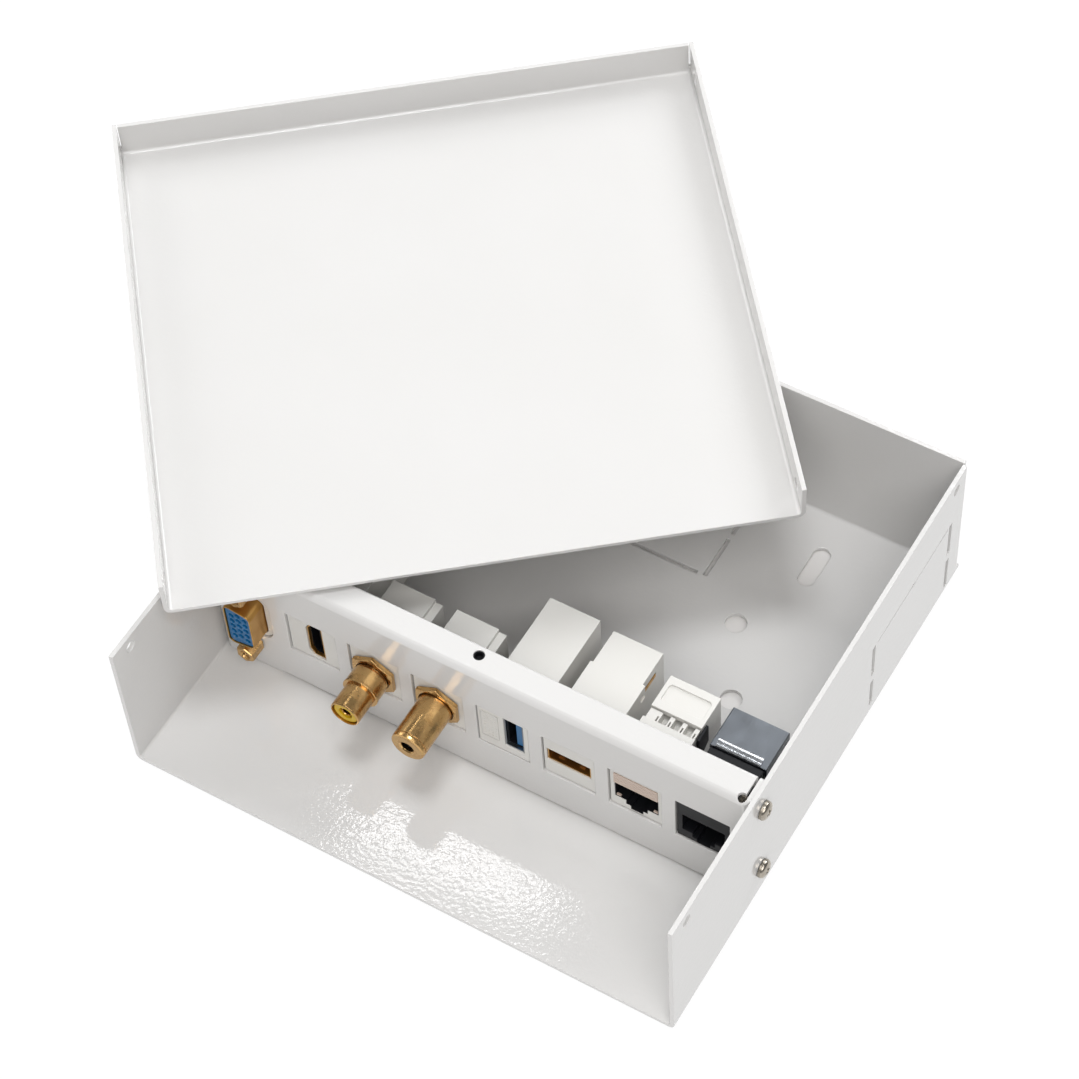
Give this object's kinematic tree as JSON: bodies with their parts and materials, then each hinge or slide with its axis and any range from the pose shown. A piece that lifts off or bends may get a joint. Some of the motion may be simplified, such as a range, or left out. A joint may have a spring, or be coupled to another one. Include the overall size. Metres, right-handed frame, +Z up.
{
  "type": "keystone audio-video connection box",
  "caption": "Open-fronted white sheet-steel box with an upright port panel of keystone modules and a loose tray lid laid upside down across its walls.",
  "frame": {"origin": "middle of the base tray's underside", "axes": "+X to the right along the row of ports, +Y from the open front to the rear wall, +Z up"},
  "size_m": [0.2563, 0.2423, 0.0598],
  "materials": {
    "powder_coat": "semi-gloss white powder coat with fine orange peel",
    "white_plastic": "moulded ABS, semi-gloss",
    "gold": "gold-plated brass, bright",
    "nickel": "nickel plate, bright",
    "tinned_steel": "tinned sheet steel, rolled",
    "black_plastic": "moulded, satin",
    "blue_plastic": "moulded, satin",
    "yellow_plastic": "moulded, satin"
  },
  "bodies": {
    "base": {"base_tray": "powder_coat", "port_panel": "powder_coat", "panel_screw_left_lower": "nickel", "panel_screw_left_upper": "nickel", "panel_screw_right_lower": "nickel", "panel_screw_right_upper": "nickel", "dsub_shell": "gold", "dsub_insert": "blue_plastic", "dsub_standoff_lower": "gold", "dsub_standoff_upper": "gold", "dsub_rear_housing": "black_plastic", "dsub_bezel": "white_plastic", "video_coupler_housing": "white_plastic", "video_coupler_shell": "gold", "video_coupler_tongue": "black_plastic", "phono_socket_housing": "white_plastic", "phono_socket_nut": "gold", "phono_socket_barrel": "gold", "phono_socket_insulator": "yellow_plastic", "phono_socket_centre_contact": "gold", "phono_socket_solder_tag": "gold", "audio_jack_housing": "white_plastic", "audio_jack_nut": "gold", "audio_jack_barrel": "gold", "audio_jack_insulator": "black_plastic", "audio_jack_solder_tag": "gold", "data_coupler_housing": "white_plastic", "data_coupler_shell": "tinned_steel", "data_coupler_tongue": "blue_plastic", "slot_coupler_housing": "white_plastic", "slot_coupler_shell": "gold", "slot_coupler_tongue": "white_plastic", "slot_coupler_ground_strip": "gold", "white_jack_housing": "white_plastic", "white_jack_contacts": "gold", "white_jack_wire_block": "white_plastic", "white_jack_side_clip": "black_plastic", "black_jack_housing": "black_plastic", "black_jack_contacts": "gold", "black_jack_rear_body": "black_plastic", "black_jack_shield": "tinned_steel"},
    "lid": {"lid_tray": "powder_coat"},
    "wire_cap": {"white_jack_wire_cap": "white_plastic"}
  },
  "joints": [
    {"name": "lid_lift", "type": "slide", "parent": "base", "child": "lid", "axis": [0, 0, 1], "range_m": [0, 0.1]},
    {"name": "wire_cap_pull", "type": "slide", "parent": "base", "child": "wire_cap", "axis": [0, 1, 0], "range_m": [0, 0.012]}
  ]
}
